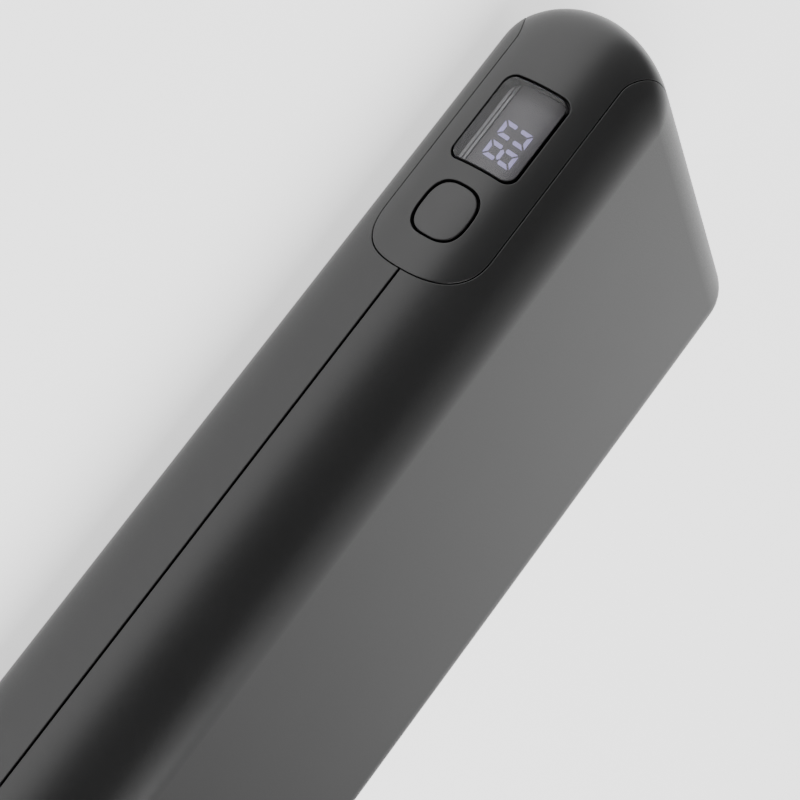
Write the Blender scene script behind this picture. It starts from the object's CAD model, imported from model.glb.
"""Looks of the power bank: moulded skins, a smoked window over lit digits, and a studio."""

import math

import bpy
import numpy as np
from mathutils import Matrix, Vector
from mathutils.geometry import delaunay_2d_cdt


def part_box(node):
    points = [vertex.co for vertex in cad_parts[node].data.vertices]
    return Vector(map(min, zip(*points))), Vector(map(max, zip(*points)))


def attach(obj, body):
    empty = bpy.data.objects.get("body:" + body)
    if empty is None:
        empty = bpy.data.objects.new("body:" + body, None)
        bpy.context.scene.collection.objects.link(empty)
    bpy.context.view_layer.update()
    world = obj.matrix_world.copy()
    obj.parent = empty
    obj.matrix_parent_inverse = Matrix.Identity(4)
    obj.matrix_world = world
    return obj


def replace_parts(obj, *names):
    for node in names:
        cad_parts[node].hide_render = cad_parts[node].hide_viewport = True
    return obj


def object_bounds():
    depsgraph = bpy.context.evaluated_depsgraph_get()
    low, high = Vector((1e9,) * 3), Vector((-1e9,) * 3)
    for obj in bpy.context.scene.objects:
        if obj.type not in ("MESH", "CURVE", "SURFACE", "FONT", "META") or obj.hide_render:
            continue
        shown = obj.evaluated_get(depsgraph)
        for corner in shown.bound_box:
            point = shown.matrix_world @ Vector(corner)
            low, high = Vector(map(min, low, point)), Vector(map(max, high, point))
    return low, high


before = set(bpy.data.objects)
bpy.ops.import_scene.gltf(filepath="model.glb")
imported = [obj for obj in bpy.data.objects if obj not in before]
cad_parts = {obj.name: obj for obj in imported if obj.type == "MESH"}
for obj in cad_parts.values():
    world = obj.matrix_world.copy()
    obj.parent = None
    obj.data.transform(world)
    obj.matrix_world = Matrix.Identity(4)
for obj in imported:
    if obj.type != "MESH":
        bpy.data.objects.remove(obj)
CAD_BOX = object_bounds()

MM = 0.001
CASE = "case"
BUTTON = "button"

# Side profile and corner form, in mm.
SIDE_R = 18.0
BLEND_R = 8.0
NEAR_CORNER_POWER = 3.6
FAR_CORNER_POWER = 2.3
CORNER_SPAN = 16.5

# Parting line between the shells, in mm.
PARTING_HALF = 0.13
SHELL_FILLET = 0.16
GROOVE_DEPTH = 1.0
TONGUE_DEPTH = 1.1
TONGUE_HALF = 1.2

# The cap and its border, in mm.
CAP_GAP = 0.12
CAP_FILLET = 0.14
CAP_LEDGE_DEPTH = 1.5
CAP_LEDGE = 0.8
CAP_HEIGHT = 9.05
CAP_END_HEIGHT = 11.75
CAP_END_CORNER = 6.0
CAP_TIP_REACH = 8.0
CAP_TIP_POWER = 2.35
CAP_RAMP_SHARE = 2 / 3
OPENING_DEPTH = 2.4

# Socket openings, in mm: the node in each and the opening's corner radius.
SOCKETS = (("usb_c_shell", 1.7), ("usb_a_shell_1", 0.7), ("usb_a_shell_2", 0.7))
SOCKET_GAP = 0.2

# Window, in mm. The gaps are towards low X, high X, low Z and high Z.
WINDOW_SIZE = (15.1, 11.3)
WINDOW_CORNER = 2.0
LENS_GAPS = (0.35, 0.4, 0.12, 0.45)
LENS_CORNER = 1.6
LENS_FILLET = 0.1
LENS_RECESS = 0.12
LENS_DEPTH = 1.6

# Button, in mm.
BUTTON_SIZE = (8.5, 7.75)
BUTTON_POWER = 2.8
BUTTON_GAP = 0.35
BUTTON_FILLET = 0.18
BUTTON_RECESS = 0.1
BUTTON_DEPTH = 2.6

# Display face, in mm.
DISPLAY_REACH = 1.1
DISPLAY_CORNER = 0.9
DISPLAY_BORDER = 0.11
DISPLAY_BORDER_DROP = 0.06
DISPLAY_FACE_CORNER = 0.7

# Seven segment digits, in mm.
DIGIT_SHIFT = (-0.3, -0.2)
DIGIT_PITCH = 3.5
DIGIT_HALF_WIDTH = 1.28
DIGIT_HALF_HEIGHT = 2.5
DIGIT_SLANT = math.tan(math.radians(6))
STROKE = 0.6
MITRE_GAP = 0.24
WAIST_GAP = 0.44
WAIST_CHAMFER = 0.13
BAR_HALF_LENGTH = 0.84

# The bar below the display: depth behind the side and height, in mm.
LINER_PROFILE = (
    (1.05, 8.40),
    (1.8, 8.38),
    (2.3, 8.44),
    (2.62, 8.6),
    (2.8, 8.84),
    (2.875, 9.4),
    (2.9, 9.42),
    (3.15, 9.44),
    (3.2, 9.8),
    (3.22, 9.82),
    (4.2, 9.86),
)
LINER_OVERLAP = 0.9

# Mesh spacing, in mm.
BORDER_STEP = 0.8
CAP_STEP = 0.7
OUTLINE_STEP = 0.6
TONGUE_STEP = 1.2
LINER_STEP = 0.08
LINER_COLUMNS = 12
CURVE_POINTS = 40
ARC_POINTS = 12
SQUIRCLE_POINTS = 96
FILLET_STEPS = 5
SHELL_SPACING = (1.1, 0.8)
CAP_SPACING = (0.8, 0.8)
LENS_SPACING = (0.7, 0.7)
BUTTON_SPACING = (0.5, 0.5)

# Carried-over CAD nodes.
EDGE_ROUND = 0.06 * MM
EDGE_ANGLE = math.radians(40)
ROUNDED_NODES = ("usb_a_shell_1", "usb_a_shell_2", "usb_c_shell", "usb_a_tongue_1", "usb_a_tongue_2")

# Studio. Each glow is a direction, an outer and an inner angle, and a strength.
FLOOR_GLOW = 1.15
FLOOR_REACH = 6.0
FLOOR_DROP = 0.0002
ROOM_GLOW = 0.13
GLOWS = (
    ((-0.67, 0.67, 0.31), 52, 5, 1.9),
    ((0, 0.2, 1), 60, 10, 0.5),
    ((-0.75, -0.62, 0.22), 42, 5, 0.4),
)
KEY_PLACE = (0.72, 0.25, 0.95)
KEY_TARGET = (0, 0, 0.014)
KEY_SIZE = 1.2
KEY_POWER = 30.0

# Camera, in metres and degrees.
CAMERA_PLACE = (0.05076, -0.29408, 0.15826)
CAMERA_AZIMUTH = math.radians(13.4)
CAMERA_ELEVATION = math.radians(26.5)
CAMERA_ROLL = math.radians(121.18)
CAMERA_LENS = 103.2
CAMERA_CLIP = (0.01, 50)


# ---------------------------------------------------------------- the outer form


class Form:
    """The outer surface. A place on it is (s, t) in mm: s runs round the case, 0 at the middle
    of the display side and below 0 towards the sockets; t climbs the profile from mid height."""

    def __init__(self, low, high):
        self.half_l = (high.x - low.x) / 2 / MM
        self.half_w = (high.y - low.y) / 2 / MM
        self.mid = (high.z - low.z) / 2 / MM
        self.rise = self.mid - BLEND_R
        arm = SIDE_R - BLEND_R
        self.depth = SIDE_R - math.sqrt(arm**2 - self.rise**2)
        self.turn = math.asin(self.rise / arm)
        self.t_side = SIDE_R * self.turn
        self.t_flat = self.t_side + BLEND_R * (math.pi / 2 - self.turn)
        self.x = self.half_l - self.depth
        self.y = self.half_w - self.depth
        self.s_end = self.x + CORNER_SPAN
        self.s_far = self.s_end + 2 * self.y + CORNER_SPAN
        self.s_seam = self.s_far + self.x

    def t_of(self, height):
        """The profile length at a height above or below the middle."""
        size = np.abs(height)
        side = SIDE_R * np.arcsin(np.clip(size / SIDE_R, 0, 1))
        blend = np.arcsin(np.clip((size - self.rise) / BLEND_R, -1, 1)) - self.turn
        low = size < SIDE_R * math.sin(self.turn)
        return np.sign(height) * np.where(low, side, self.t_side + BLEND_R * blend)

    def s_on_end(self, y):
        """The place round the case of a point on the socket end."""
        return -(self.s_end + self.y + y)

    def contour(self, s):
        """Foot, reach direction and slope direction in plan, for places round the case."""
        a = np.abs(s)
        flip = np.where(s < 0, -1.0, 1.0)
        near = np.clip((a - self.x) / CORNER_SPAN, 0, 1) * math.pi / 2
        far = np.clip((a - self.s_far + CORNER_SPAN) / CORNER_SPAN, 0, 1) * math.pi / 2
        foot_x = np.minimum(a, self.x) - np.maximum(a - self.s_far, 0)
        foot_y = np.clip(a - self.s_end, 0, 2 * self.y) - self.y
        is_far = a > self.s_far - CORNER_SPAN
        power = np.where(is_far, FAR_CORNER_POWER, NEAR_CORNER_POWER)
        turn = np.where(is_far, far, near)
        first = np.cos(turn)
        second = np.sin(turn)
        size = (first**power + second**power) ** (1 / power)
        first, second = first / size, second / size
        steep = (first ** (power - 1), second ** (power - 1))
        reach_x = np.where(is_far, first, second)
        reach_y = np.where(is_far, second, -first)
        slope_x = np.where(is_far, steep[0], steep[1])
        slope_y = np.where(is_far, steep[1], -steep[0])
        return flip * foot_x, foot_y, flip * reach_x, reach_y, flip * slope_x, slope_y

    def place(self, s, t, lift=0.0):
        """Points in mm and unit normals of places on the form, raised by lift."""
        s, t = np.asarray(s, float), np.asarray(t, float)
        size = np.abs(t)
        side = size < self.t_side
        angle = np.where(side, size / SIDE_R, self.turn + (size - self.t_side) / BLEND_R)
        angle = np.minimum(angle, math.pi / 2)
        cos, sin = np.cos(angle), np.sin(angle)
        reach = np.where(side, self.depth - SIDE_R * (1 - cos), BLEND_R * cos)
        height = np.where(side, SIDE_R * sin, self.rise + BLEND_R * sin) * np.sign(t)
        foot_x, foot_y, reach_x, reach_y, slope_x, slope_y = self.contour(s)
        points = np.stack(
            [foot_x + reach * reach_x, foot_y + reach * reach_y, self.mid + height], -1
        )
        normals = np.stack([cos * slope_x, cos * slope_y, sin * np.sign(t)], -1)
        normals /= np.linalg.norm(normals, axis=-1, keepdims=True)
        return points + np.asarray(lift)[..., None] * normals, normals


form = Form(*CAD_BOX)


# ---------------------------------------------------------------- mesh making


class Skin:
    """Points in mm with their own normals, gathered into one mesh."""

    def __init__(self):
        self.points = np.zeros((0, 3))
        self.normals = np.zeros((0, 3))
        self.faces = []

    def add(self, points, normals):
        """Adds points and returns the number of the first."""
        start = len(self.points)
        self.points = np.concatenate([self.points, np.asarray(points).reshape(-1, 3)])
        self.normals = np.concatenate([self.normals, np.asarray(normals).reshape(-1, 3)])
        return start

    def grid(self, points, normals, closed=False):
        """Faces between rows of points. Rows run along the first axis."""
        rows, columns = points.shape[:2]
        start = self.add(points, normals)
        for r in range(rows - 1):
            for c in range(columns if closed else columns - 1):
                a, b = c, (c + 1) % columns
                low, high = start + r * columns, start + (r + 1) * columns
                self.faces.append((low + a, high + a, high + b, low + b))

    def mirrored(self):
        """The same skin below mid height."""
        other = Skin()
        other.points = self.points * [1, 1, -1] + [0, 0, 2 * form.mid]
        other.normals = self.normals * [1, 1, -1]
        other.faces = [face[::-1] for face in self.faces]
        return other

    def build(self, name, material, body, slot):
        """Makes the piece, riding on a body."""
        mesh = bpy.data.meshes.new(name)
        mesh.from_pydata((self.points * MM).tolist(), [], self.faces)
        mesh.materials.append(material)
        mesh.polygons.foreach_set("use_smooth", [True] * len(mesh.polygons))
        mesh.normals_split_custom_set_from_vertices(self.normals.tolist())
        piece = bpy.data.objects.new(name, mesh)
        bpy.context.collection.objects.link(piece)
        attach(piece, body)
        return piece


def arc(centre, radius, start, end):
    """Points on an arc, angles in degrees."""
    turns = np.radians(np.linspace(start, end, ARC_POINTS))
    return np.stack([centre[0] + radius * np.cos(turns), centre[1] + radius * np.sin(turns)], 1)


def dense(line, step, closed=False):
    """A line with extra points, so that no stretch is longer than step."""
    line = np.asarray(line, float)
    ends = np.roll(line, -1, 0) if closed else line[1:]
    parts = []
    for a, b in zip(line, ends):
        count = max(1, math.ceil(np.linalg.norm(b - a) / step))
        parts.append(a + (b - a) * (np.arange(count) / count)[:, None])
    if not closed:
        parts.append(line[-1:])
    return np.concatenate(parts)


def right_of(line, closed):
    """Mitred unit normals on the right of a line."""
    sharpest = 0.5
    ahead = np.roll(line, -1, 0) - line
    behind = line - np.roll(line, 1, 0)
    if not closed:
        ahead[-1] = behind[-1]
        behind[0] = ahead[0]
    sides = []
    for step in (ahead, behind):
        step = step / np.linalg.norm(step, axis=1, keepdims=True)
        sides.append(np.stack([step[:, 1], -step[:, 0]], 1))
    bend = 1 + (sides[0] * sides[1]).sum(1, keepdims=True)
    return (sides[0] + sides[1]) / np.maximum(bend, sharpest)


def inside(points, loop):
    """Which points lie inside a closed loop."""
    x, y = points[:, 0:1], points[:, 1:2]
    ax, ay = loop[:, 0], loop[:, 1]
    bx, by = np.roll(ax, -1), np.roll(ay, -1)
    crosses = (ay > y) != (by > y)
    gap = np.where(by == ay, 1e-9, by - ay)
    return (crosses & (x < (bx - ax) * (y - ay) / gap + ax)).sum(1) % 2 == 1


def between(points, loops):
    """Which points lie inside the first loop and outside the others."""
    keep = inside(points, loops[0])
    for loop in loops[1:]:
        keep &= ~inside(points, loop)
    return keep


def cover(skin, loops, spacing, lift=0.0):
    """Covers the form inside the first loop and outside the others."""
    edges, start = [], 0
    for loop in loops:
        count = len(loop)
        edges += [(start + i, start + (i + 1) % count) for i in range(count)]
        start += count
    border = np.concatenate(loops)
    low, high = border.min(0), border.max(0)
    columns = np.arange(low[0], high[0], spacing[0])
    rows = np.arange(low[1] + spacing[1] / 2, high[1], spacing[1])
    inner = np.stack(np.meshgrid(columns, rows), -1).reshape(-1, 2)
    inner = inner[between(inner, loops)]
    clear = 0.45 * min(spacing)
    apart = [((border - point) ** 2).sum(1).min() > clear**2 for point in inner]
    flat = np.concatenate([border, inner[np.array(apart, bool)]])
    made = delaunay_2d_cdt([Vector(point) for point in flat], edges, [], 0, 1e-5)
    places = np.array([tuple(place) for place in made[0]])
    faces = np.array([face for face in made[2] if len(face) == 3])
    faces = faces[between(places[faces].mean(1), loops)]
    first = skin.add(*form.place(places[:, 0], places[:, 1], lift))
    skin.faces += [tuple(face) for face in (faces + first).tolist()]


def rim(skin, line, closed, fillet, depth, ledge=0.0, lift=0.0):
    """Rounds a region's edge over on the right of the line and takes it down into the body."""
    aside = right_of(line, closed)
    probe = 0.01
    points, normals = form.place(line[:, 0], line[:, 1])
    moved = form.place(line[:, 0] + probe * aside[:, 0], line[:, 1] + probe * aside[:, 1])[0]
    outward = moved - points
    outward -= (outward * normals).sum(1, keepdims=True) * normals
    stretch = np.linalg.norm(outward, axis=1, keepdims=True)
    outward /= stretch
    scale = aside * probe * np.linalg.norm(aside, axis=1, keepdims=True) / stretch
    turns = np.linspace(0, math.pi / 2, FILLET_STEPS + 1)
    rows = [(fillet * math.sin(a), fillet * (1 - math.cos(a)), a) for a in turns]
    rows += [(fillet, depth, math.pi / 2)]
    rows += [(fillet, depth, 0.0), (fillet + ledge, depth, 0.0)] if ledge else []
    made_points, made_normals = [], []
    for out, drop, a in rows:
        at = line + scale * out
        row, up = form.place(at[:, 0], at[:, 1], lift - drop)
        made_points.append(row)
        made_normals.append(math.cos(a) * up + math.sin(a) * outward)
    skin.grid(np.array(made_points), np.array(made_normals), closed)


def on_side(outline):
    """An outline in X and height above the middle, as places on the display side."""
    return np.stack([outline[:, 0], form.t_of(outline[:, 1])], 1)


def on_end(outline):
    """An outline in Y and height above the middle, as places on the socket end."""
    return np.stack([form.s_on_end(outline[:, 0]), form.t_of(outline[:, 1])], 1)[::-1]


def rounded_rect(centre, size, radius, grow=0.0):
    """A rounded rectangle, anticlockwise."""
    x, y = size[0] / 2 + grow - radius, size[1] / 2 + grow - radius
    corners = [(x, y, 0), (-x, y, 90), (-x, -y, 180), (x, -y, 270)]
    line = [arc((centre[0] + cx, centre[1] + cy), radius, a, a + 90) for cx, cy, a in corners]
    return dense(np.concatenate(line), OUTLINE_STEP, closed=True)


def squircle(centre, size, grow=0.0):
    """A rounded square outline whose sides never run straight, anticlockwise."""
    turns = np.arange(SQUIRCLE_POINTS) * 2 * math.pi / SQUIRCLE_POINTS
    cos, sin = np.cos(turns), np.sin(turns)
    x = np.sign(cos) * np.abs(cos) ** (2 / BUTTON_POWER) * (size[0] / 2 + grow)
    y = np.sign(sin) * np.abs(sin) ** (2 / BUTTON_POWER) * (size[1] / 2 + grow)
    return np.stack([centre[0] + x, centre[1] + y], 1)


# ---------------------------------------------------------------- materials

# Noise hardly leaves this range, so it is stretched from here to the values wanted.
NOISE_LOW, NOISE_HIGH = 0.3, 0.7


def shader(name):
    """A new material with its nodes, its links, its shader and its coordinates."""
    material = bpy.data.materials.new(name)
    material.use_nodes = True
    nodes = material.node_tree.nodes
    links = material.node_tree.links
    coords = nodes.new("ShaderNodeTexCoord").outputs["Object"]
    return material, nodes, links, nodes["Principled BSDF"], coords


def noise(nodes, links, coords, scale, detail=4.0):
    """Noise in metres: scale is the number of features in a metre."""
    node = nodes.new("ShaderNodeTexNoise")
    node.inputs["Scale"].default_value = scale
    node.inputs["Detail"].default_value = detail
    node.inputs["Roughness"].default_value = 0.6
    links.new(coords, node.inputs["Vector"])
    return node.outputs["Fac"]


def ranged(nodes, links, value, low, high):
    """Noise stretched between two values."""
    node = nodes.new("ShaderNodeMapRange")
    node.inputs["From Min"].default_value = NOISE_LOW
    node.inputs["From Max"].default_value = NOISE_HIGH
    node.inputs["To Min"].default_value = low
    node.inputs["To Max"].default_value = high
    links.new(value, node.inputs["Value"])
    return node.outputs["Result"]


def tint(nodes, links, value, dark, light):
    """Noise as a colour between two others."""
    node = nodes.new("ShaderNodeValToRGB")
    first, last = node.color_ramp.elements
    first.position, last.position = NOISE_LOW, NOISE_HIGH
    first.color, last.color = (*dark, 1), (*light, 1)
    links.new(value, node.inputs["Fac"])
    return node.outputs["Color"]


def bump(nodes, links, surface, height, strength):
    """Raises the grain by up to a fiftieth of a millimetre."""
    node = nodes.new("ShaderNodeBump")
    node.inputs["Distance"].default_value = 0.02 * MM
    node.inputs["Strength"].default_value = strength
    links.new(height, node.inputs["Height"])
    links.new(node.outputs["Normal"], surface.inputs["Normal"])


def moulded(name, color, rough, grain_per_mm, grain, spread=0.12, metallic=0.0, specular=0.5):
    """Moulded or plated surface: a fine grain, and slow changes of tone and gloss."""
    material, nodes, links, surface, coords = shader(name)
    slow = noise(nodes, links, coords, 60.0)
    fine = noise(nodes, links, coords, grain_per_mm / MM, detail=2.0)
    dark = [c * (1 - spread) for c in color]
    light = [c * (1 + spread) for c in color]
    links.new(tint(nodes, links, slow, dark, light), surface.inputs["Base Color"])
    links.new(ranged(nodes, links, fine, rough - 0.05, rough + 0.05), surface.inputs["Roughness"])
    surface.inputs["Metallic"].default_value = metallic
    surface.inputs["Specular IOR Level"].default_value = specular
    bump(nodes, links, surface, fine, grain)
    return material


def glowing(name, color, strength):
    """A lit segment, with a faint unevenness."""
    material, nodes, links, surface, coords = shader(name)
    fine = noise(nodes, links, coords, 900.0, detail=1.0)
    dim = [c * 0.92 for c in color]
    links.new(tint(nodes, links, fine, dim, color), surface.inputs["Emission Color"])
    surface.inputs["Base Color"].default_value = (0.1, 0.1, 0.12, 1)
    surface.inputs["Emission Strength"].default_value = strength
    surface.inputs["Roughness"].default_value = 0.5
    return material


def smoked(name, color, rough):
    """Clear smoked plastic: it darkens what lies behind and keeps a soft gloss."""
    material, nodes, links, surface, coords = shader(name)
    nodes.remove(surface)
    slow = noise(nodes, links, coords, 120.0)
    through = nodes.new("ShaderNodeBsdfTransparent")
    gloss = nodes.new("ShaderNodeBsdfGlossy")
    fresnel = nodes.new("ShaderNodeFresnel")
    mix = nodes.new("ShaderNodeMixShader")
    dark = [c * 0.95 for c in color]
    links.new(tint(nodes, links, slow, dark, color), through.inputs["Color"])
    gloss.inputs["Roughness"].default_value = rough
    gloss.inputs["Color"].default_value = (1, 1, 1, 1)
    fresnel.inputs["IOR"].default_value = 1.45
    links.new(fresnel.outputs["Fac"], mix.inputs["Fac"])
    links.new(through.outputs["BSDF"], mix.inputs[1])
    links.new(gloss.outputs["BSDF"], mix.inputs[2])
    links.new(mix.outputs["Shader"], nodes["Material Output"].inputs["Surface"])
    return material


# Colour, roughness, grains in a millimetre, depth of grain and spread of tone.
SHELL = moulded("shell_plastic", (0.007, 0.007, 0.0072), 0.39, 5.0, 0.4)
CAP = moulded("cap_plastic", (0.008, 0.008, 0.0082), 0.34, 8.0, 0.12)
KEY = moulded("key_plastic", (0.014, 0.0137, 0.0142), 0.36, 8.0, 0.12)
LENS = smoked("smoked_lens", (0.86, 0.86, 0.88), 0.25)
DISPLAY = moulded("display_face", (0.094, 0.088, 0.093), 0.4, 1.0, 0.0)
LINER = moulded("window_liner", (0.22, 0.218, 0.223), 0.2, 1.0, 0.0, specular=1.0)
DIGITS = glowing("lit_segment", (0.46, 0.41, 0.78), 0.9)
STEEL = moulded("plated_steel", (0.62, 0.62, 0.64), 0.28, 3.0, 0.1, 0.06, metallic=1.0)
GOLD = moulded("gold_contact", (0.86, 0.62, 0.26), 0.25, 6.0, 0.1, 0.06, metallic=1.0)
MASK = moulded("solder_mask", (0.012, 0.05, 0.025), 0.35, 4.0, 0.2, 0.2)
DARK_BOARD = moulded("dark_solder_mask", (0.012, 0.012, 0.013), 0.4, 4.0, 0.2, 0.2)
DARK = moulded("dark_plastic", (0.02, 0.02, 0.021), 0.5, 6.0, 0.25)
PALE = moulded("pale_plastic", (0.75, 0.74, 0.71), 0.45, 6.0, 0.2, 0.05)
FERRITE = moulded("ferrite", (0.07, 0.07, 0.075), 0.6, 5.0, 0.8, 0.2)
CAN = moulded("can_aluminium", (0.7, 0.71, 0.73), 0.3, 4.0, 0.2, 0.05, metallic=1.0)
POUCH = moulded("cell_foil", (0.55, 0.56, 0.58), 0.38, 1.2, 0.7, 0.08, metallic=0.8)
TAPE = moulded("cell_tape", (0.8, 0.7, 0.32), 0.5, 2.0, 0.4)
FOAM = moulded("foam_pad", (0.03, 0.03, 0.032), 0.9, 2.5, 1.0, 0.25)
RED = moulded("red_lead", (0.5, 0.03, 0.025), 0.5, 3.0, 0.3)
BLACK = moulded("black_lead", (0.02, 0.02, 0.02), 0.5, 3.0, 0.3)

CAD_LOOKS = {
    "tact_switch_body": DARK,
    "tact_switch_plunger": PALE,
    "display_board": DARK_BOARD,
    "board_link_pins": GOLD,
    "main_board": MASK,
    "usb_a_shell_1": STEEL,
    "usb_a_shell_2": STEEL,
    "usb_a_tongue_1": PALE,
    "usb_a_tongue_2": PALE,
    "usb_a_contacts_1": GOLD,
    "usb_a_contacts_2": GOLD,
    "usb_c_shell": STEEL,
    "usb_c_tongue": DARK,
    "usb_c_contacts": GOLD,
    "power_inductors": FERRITE,
    "output_capacitors": CAN,
    "controller_chips": DARK,
    "power_mosfets": DARK,
    "board_screws": STEEL,
    "upper_cell": POUCH,
    "lower_cell": POUCH,
    "cell_tape": TAPE,
    "cell_tabs": STEEL,
    "positive_lead": RED,
    "negative_lead": BLACK,
    "thermistor": DARK,
    "upper_foam_pad": FOAM,
    "lower_foam_pad": FOAM,
}


def dress_cad_nodes():
    """Gives every carried-over node its material and smooth curves, and the sockets soft edges."""
    for name, material in CAD_LOOKS.items():
        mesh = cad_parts[name].data
        mesh.materials.clear()
        mesh.materials.append(material)
        mesh.polygons.foreach_set("use_smooth", [True] * len(mesh.polygons))
        mesh.set_sharp_from_angle(angle=EDGE_ANGLE)
    for name in ROUNDED_NODES:
        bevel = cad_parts[name].modifiers.new("edges", "BEVEL")
        bevel.width = EDGE_ROUND
        bevel.segments = 2
        bevel.limit_method = "ANGLE"
        bevel.angle_limit = EDGE_ANGLE


# ---------------------------------------------------------------- the pieces


def centre_of(node):
    """The middle of a CAD node's box, in mm."""
    low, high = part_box(node)
    return (low + high) / 2 / MM


def cap_ends():
    """Where the cap's tip is along X, and where the cap ends on the socket end."""
    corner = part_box("end_cap")[1]
    return corner.x / MM, form.s_on_end(corner.y / MM)


def cap_border(grow):
    """The upper half of the cap's border, from the far end of the socket face to the tip."""
    tip, end = cap_ends()
    top = float(form.t_of(CAP_END_HEIGHT))
    low = float(form.t_of(CAP_HEIGHT))
    first = arc((end + CAP_END_CORNER, top - CAP_END_CORNER), CAP_END_CORNER + grow, 180, 90)
    ramp_start = -(form.x + CORNER_SPAN * CAP_RAMP_SHARE)
    s = np.linspace(-form.s_end, -form.x, CURVE_POINTS)
    share = np.clip((s - ramp_start) / (-form.x - ramp_start), 0, 1)
    ease = share * share * (3 - 2 * share)
    heights = CAP_END_HEIGHT + (CAP_HEIGHT - CAP_END_HEIGHT) * ease
    ramp = np.stack([s, form.t_of(heights) + grow], 1)
    turns = np.radians(np.linspace(90, 0, CURVE_POINTS))
    power = 2 / CAP_TIP_POWER
    nose_s = tip - CAP_TIP_REACH + (CAP_TIP_REACH + grow) * np.cos(turns).clip(0) ** power
    nose = np.stack([nose_s, (low + grow) * np.sin(turns) ** power], 1)
    return np.concatenate([first, ramp, nose])


def shell_skin():
    """The upper shell: its rounded sides, its flat face and its edge along cap and groove."""
    skin = Skin()
    level = PARTING_HALF + SHELL_FILLET
    border = cap_border(CAP_GAP + SHELL_FILLET)
    border = border[border[:, 1] > level]
    before = [(-form.s_seam, level), (border[0, 0], level)]
    after = [(border[-1, 0], level), (form.s_seam, level)]
    line = dense(np.concatenate([before, border, after]), BORDER_STEP)
    top = [(form.s_seam, form.t_flat), (-form.s_seam, form.t_flat)]
    cover(skin, [dense(np.concatenate([line, top]), BORDER_STEP, closed=True)], SHELL_SPACING)
    rim(skin, line, False, SHELL_FILLET, GROOVE_DEPTH)
    x, y, z = form.x, form.y, 2 * form.mid
    flat = np.array([[(-x, -y, z), (-x, y, z)], [(x, -y, z), (x, y, z)]])
    skin.grid(flat, np.broadcast_to([0.0, 0.0, 1.0], flat.shape))
    return skin


def make_shells():
    upper = shell_skin()
    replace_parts(upper.build("top_shell_skin", SHELL, CASE, "shell"), "top_shell")
    lower = upper.mirrored()
    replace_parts(lower.build("bottom_shell_skin", SHELL, CASE, "shell"), "bottom_shell")
    make_tongue()


def make_tongue():
    """The lip of the lower shell that closes the bottom of the parting groove."""
    tip, end = cap_ends()
    tongue = Skin()
    for stretch in ((-form.s_seam, end), (tip, form.s_seam)):
        places = dense([(s, 0) for s in stretch], TONGUE_STEP)[:, 0]
        grid_s, grid_t = np.meshgrid(places, [TONGUE_HALF, 0.0, -TONGUE_HALF])
        tongue.grid(*form.place(grid_s, grid_t, -TONGUE_DEPTH))
    tongue.build("bottom_shell_tongue", DARK, CASE, "shell")


def make_cap():
    """The satin cap with openings for the window, the button and the sockets."""
    skin = Skin()
    above = 0.05
    half = cap_border(-CAP_FILLET)
    half = half[half[:, 1] > above]
    loop = dense(np.concatenate([half[::-1], half * [1, -1]]), CAP_STEP, closed=True)
    window = centre_of("display_window")
    button = centre_of("power_button")
    holes = [
        on_side(rounded_rect((window.x, 0), WINDOW_SIZE, WINDOW_CORNER, CAP_FILLET)),
        on_side(squircle((button.x, 0), BUTTON_SIZE, BUTTON_GAP + CAP_FILLET)),
    ]
    for node, radius in SOCKETS:
        low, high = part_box(node)
        size = ((high.y - low.y) / MM, (high.z - low.z) / MM)
        middle = (centre_of(node).y, 0)
        holes.append(on_end(rounded_rect(middle, size, radius, SOCKET_GAP + CAP_FILLET)))
    cover(skin, [loop] + holes, CAP_SPACING)
    rim(skin, loop, True, CAP_FILLET, CAP_LEDGE_DEPTH, ledge=CAP_LEDGE)
    for hole in holes:
        rim(skin, hole[::-1], True, CAP_FILLET, OPENING_DEPTH)
    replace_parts(skin.build("end_cap_skin", CAP, CASE, "cap"), "end_cap")


def make_button():
    """The push button, which follows the rounded side."""
    skin = Skin()
    loop = on_side(squircle((centre_of("power_button").x, 0), BUTTON_SIZE, -BUTTON_FILLET))
    cover(skin, [loop], BUTTON_SPACING, -BUTTON_RECESS)
    rim(skin, loop, True, BUTTON_FILLET, BUTTON_DEPTH, lift=-BUTTON_RECESS)
    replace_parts(skin.build("power_button_skin", KEY, BUTTON, "button"), "power_button")


def make_window():
    """The clear lens with its blackened edge, and what shows through it."""
    window = centre_of("display_window")
    x_low, x_high, z_low, z_high = LENS_GAPS
    centre = (window.x + (x_low - x_high) / 2, (z_low - z_high) / 2)
    size = (WINDOW_SIZE[0] - x_low - x_high, WINDOW_SIZE[1] - z_low - z_high)
    loop = on_side(rounded_rect(centre, size, LENS_CORNER, -LENS_FILLET))
    lens = Skin()
    cover(lens, [loop], LENS_SPACING, -LENS_RECESS)
    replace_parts(lens.build("display_window_lens", LENS, CASE, "window"), "display_window")
    edge = Skin()
    rim(edge, loop, True, LENS_FILLET, LENS_DEPTH, lift=-LENS_RECESS)
    edge.build("display_window_edge", DARK, CASE, "dark_plastic")
    make_display_face()
    make_digits()
    make_liner(window.x)


def flat_panel(line, y):
    """A flat skin inside an outline in X and Z, facing the display side."""
    panel = Skin()
    start = panel.add(np.insert(line, 1, y, axis=1), [[0, -1, 0]] * len(line))
    middle = np.insert(line.mean(0), 1, y)
    last = panel.add(middle, [0, -1, 0])
    count = len(line)
    panel.faces = [(start + i, start + (i + 1) % count, last) for i in range(count)]
    return panel


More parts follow.
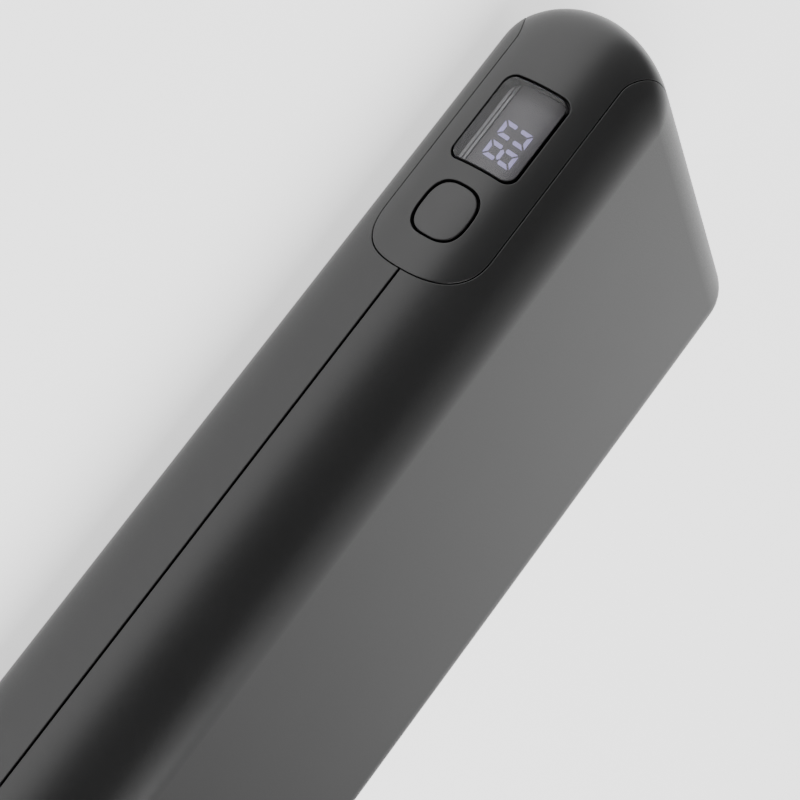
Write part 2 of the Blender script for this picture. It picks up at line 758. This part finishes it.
def make_display_face():
    """The flat grey face behind the lens, with a thin dark border."""
    low, high = (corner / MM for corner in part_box("display_module"))
    low.x -= DISPLAY_REACH
    size = (high.x - low.x, high.z - low.z)
    middle = ((low.x + high.x) / 2, (low.z + high.z) / 2)
    inner = rounded_rect(middle, size, DISPLAY_FACE_CORNER, -DISPLAY_BORDER)
    outer = rounded_rect(middle, size, DISPLAY_CORNER)
    face = flat_panel(inner, low.y).build("display_module_face", DISPLAY, CASE, "display_face")
    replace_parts(face, "display_module")
    border = flat_panel(outer, low.y + DISPLAY_BORDER_DROP)
    border.build("display_module_border", DARK, CASE, "dark_plastic")


def digit_outlines(crossed):
    """The lit segments of one upright digit, mitred where they meet, each anticlockwise."""
    wide, high = DIGIT_HALF_WIDTH, DIGIT_HALF_HEIGHT
    neck = wide - STROKE
    top = [
        (MITRE_GAP - wide, high),
        (MITRE_GAP - neck, high - STROKE),
        (neck - MITRE_GAP, high - STROKE),
        (wide - MITRE_GAP, high),
    ]
    side = [
        (wide, high - MITRE_GAP),
        (neck, high - STROKE - MITRE_GAP),
        (neck, WAIST_GAP + WAIST_CHAMFER),
        (neck + WAIST_CHAMFER, WAIST_GAP),
        (wide - WAIST_CHAMFER, WAIST_GAP),
        (wide, WAIST_GAP + WAIST_CHAMFER),
    ]
    outlines = []
    for outline, flips in ((top, [(1, 1), (1, -1)]), (side, [(1, 1), (-1, 1), (-1, -1), (1, -1)])):
        for flip in flips:
            copy = np.array(outline) * flip
            outlines.append(copy if flip[0] == flip[1] else copy[::-1])
    if crossed:
        tip, shoulder, rise = BAR_HALF_LENGTH, BAR_HALF_LENGTH - STROKE / 2, STROKE / 2
        half = [(-tip, 0), (-shoulder, -rise), (shoulder, -rise)]
        outlines.append(np.array(half + [(-x, -z) for x, z in half]))
    return outlines


def make_digits():
    """The two lit digits, an eight and a nought, standing a little proud of the display."""
    low, high = (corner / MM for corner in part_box("display_digits"))
    middle = centre_of("display_digits")
    skin = Skin()
    for side, crossed in ((1, True), (-1, False)):
        digit_x = middle.x + DIGIT_SHIFT[0] + side * DIGIT_PITCH / 2
        digit_z = middle.z + DIGIT_SHIFT[1]
        for outline in digit_outlines(crossed):
            x = digit_x + outline[:, 0] + outline[:, 1] * DIGIT_SLANT
            line = np.stack([x, digit_z + outline[:, 1]], 1)
            front = np.insert(line, 1, low.y, axis=1)
            back = np.insert(line, 1, high.y, axis=1)
            start = skin.add(front, [[0, -1, 0]] * len(front))
            skin.faces.append(tuple(range(start, start + len(front))))
            aside = np.insert(right_of(line, True), 1, 0, axis=1)
            aside /= np.linalg.norm(aside, axis=1, keepdims=True)
            skin.grid(np.array([front, back]), np.array([aside, aside]), closed=True)
    digits = skin.build("display_digit_segments", DIGITS, CASE, "lit_digits")
    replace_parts(digits, "display_digits")


def make_liner(window_x):
    """The curved lower bar of the light shield, from the window's edge to the display."""
    half = WINDOW_SIZE[0] / 2 + LINER_OVERLAP
    xs = np.linspace(window_x - half, window_x + half, LINER_COLUMNS)
    profile = dense(LINER_PROFILE, LINER_STEP)
    points = np.array([[(x, depth - form.half_w, z) for x in xs] for depth, z in profile])
    along = np.gradient(points, axis=0)
    normals = np.stack([0 * along[..., 0], -along[..., 2], along[..., 1]], -1)
    normals /= np.linalg.norm(normals, axis=-1, keepdims=True)
    skin = Skin()
    skin.grid(points, normals)
    skin.faces = [face[::-1] for face in skin.faces]
    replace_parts(skin.build("light_shield_bar", LINER, CASE, "dark_plastic"), "light_shield")


# ---------------------------------------------------------------- studio


def make_floor():
    """A pale floor that also glows, so that it stays even."""
    material, nodes, links, surface, coords = shader("pale_floor")
    slow = noise(nodes, links, coords, 3.0)
    tone = tint(nodes, links, slow, (0.9, 0.9, 0.9), (0.92, 0.92, 0.92))
    links.new(tone, surface.inputs["Base Color"])
    surface.inputs["Roughness"].default_value = 0.9
    surface.inputs["Emission Color"].default_value = (1, 1, 1, 1)
    surface.inputs["Emission Strength"].default_value = FLOOR_GLOW
    mesh = bpy.data.meshes.new("floor")
    corners = [(FLOOR_REACH * x, FLOOR_REACH * y, 0) for x, y in ((-1, -1), (1, -1), (1, 1), (-1, 1))]
    mesh.from_pydata(corners, [], [(0, 1, 2, 3)])
    mesh.materials.append(material)
    floor = bpy.data.objects.new("floor", mesh)
    floor.location.z = -FLOOR_DROP
    bpy.context.collection.objects.link(floor)


def glow(nodes, links, direction, outer, inner, strength):
    """A soft bright patch of the studio round a direction, angles in degrees."""
    aim = nodes.new("ShaderNodeVectorMath")
    aim.operation = "DOT_PRODUCT"
    aim.inputs[1].default_value = Vector(direction).normalized()
    links.new(nodes["Directions"].outputs["Generated"], aim.inputs[0])
    ease = nodes.new("ShaderNodeMapRange")
    ease.interpolation_type = "SMOOTHSTEP"
    ease.inputs["From Min"].default_value = math.cos(math.radians(outer))
    ease.inputs["From Max"].default_value = math.cos(math.radians(inner))
    ease.inputs["To Max"].default_value = strength
    links.new(aim.outputs["Value"], ease.inputs["Value"])
    return ease.outputs["Result"]


def make_world():
    """A dim studio that brightens softly behind, above and towards the socket end."""
    world = bpy.data.worlds.new("studio")
    world.use_nodes = True
    nodes, links = world.node_tree.nodes, world.node_tree.links
    nodes.new("ShaderNodeTexCoord").name = "Directions"
    total = nodes.new("ShaderNodeValue").outputs["Value"]
    total.default_value = ROOM_GLOW
    for patch in GLOWS:
        added = nodes.new("ShaderNodeMath")
        added.operation = "ADD"
        links.new(total, added.inputs[0])
        links.new(glow(nodes, links, *patch), added.inputs[1])
        total = added.outputs["Value"]
    nodes["Background"].inputs["Color"].default_value = (1, 1, 1, 1)
    links.new(total, nodes["Background"].inputs["Strength"])
    bpy.context.scene.world = world


def make_key_light():
    """One large soft panel, high on the far end's side."""
    data = bpy.data.lights.new("key_panel", "AREA")
    data.shape = "RECTANGLE"
    data.size = data.size_y = KEY_SIZE
    data.energy = KEY_POWER
    light = bpy.data.objects.new("key_panel", data)
    light.location = KEY_PLACE
    aim = Vector(KEY_TARGET) - Vector(KEY_PLACE)
    light.rotation_euler = aim.to_track_quat("-Z", "Y").to_euler()
    bpy.context.collection.objects.link(light)


def make_camera():
    """Looks down on the display side, rolled so that the case leans across the picture."""
    cos_e, sin_e = math.cos(CAMERA_ELEVATION), math.sin(CAMERA_ELEVATION)
    back = Vector((math.sin(CAMERA_AZIMUTH) * cos_e, -math.cos(CAMERA_AZIMUTH) * cos_e, sin_e))
    level = Vector((0, 0, 1)).cross(back).normalized()
    upright = back.cross(level)
    right = math.cos(CAMERA_ROLL) * level + math.sin(CAMERA_ROLL) * upright
    up = math.cos(CAMERA_ROLL) * upright - math.sin(CAMERA_ROLL) * level
    turn = Matrix((right, up, back)).transposed().to_4x4()
    data = bpy.data.cameras.new("camera")
    data.lens = CAMERA_LENS
    data.sensor_width = 36
    data.clip_start, data.clip_end = CAMERA_CLIP
    camera = bpy.data.objects.new("camera", data)
    camera.matrix_world = Matrix.Translation(CAMERA_PLACE) @ turn
    bpy.context.collection.objects.link(camera)
    bpy.context.scene.camera = camera


dress_cad_nodes()
make_shells()
make_cap()
make_button()
make_window()
make_floor()
make_world()
make_key_light()
make_camera()
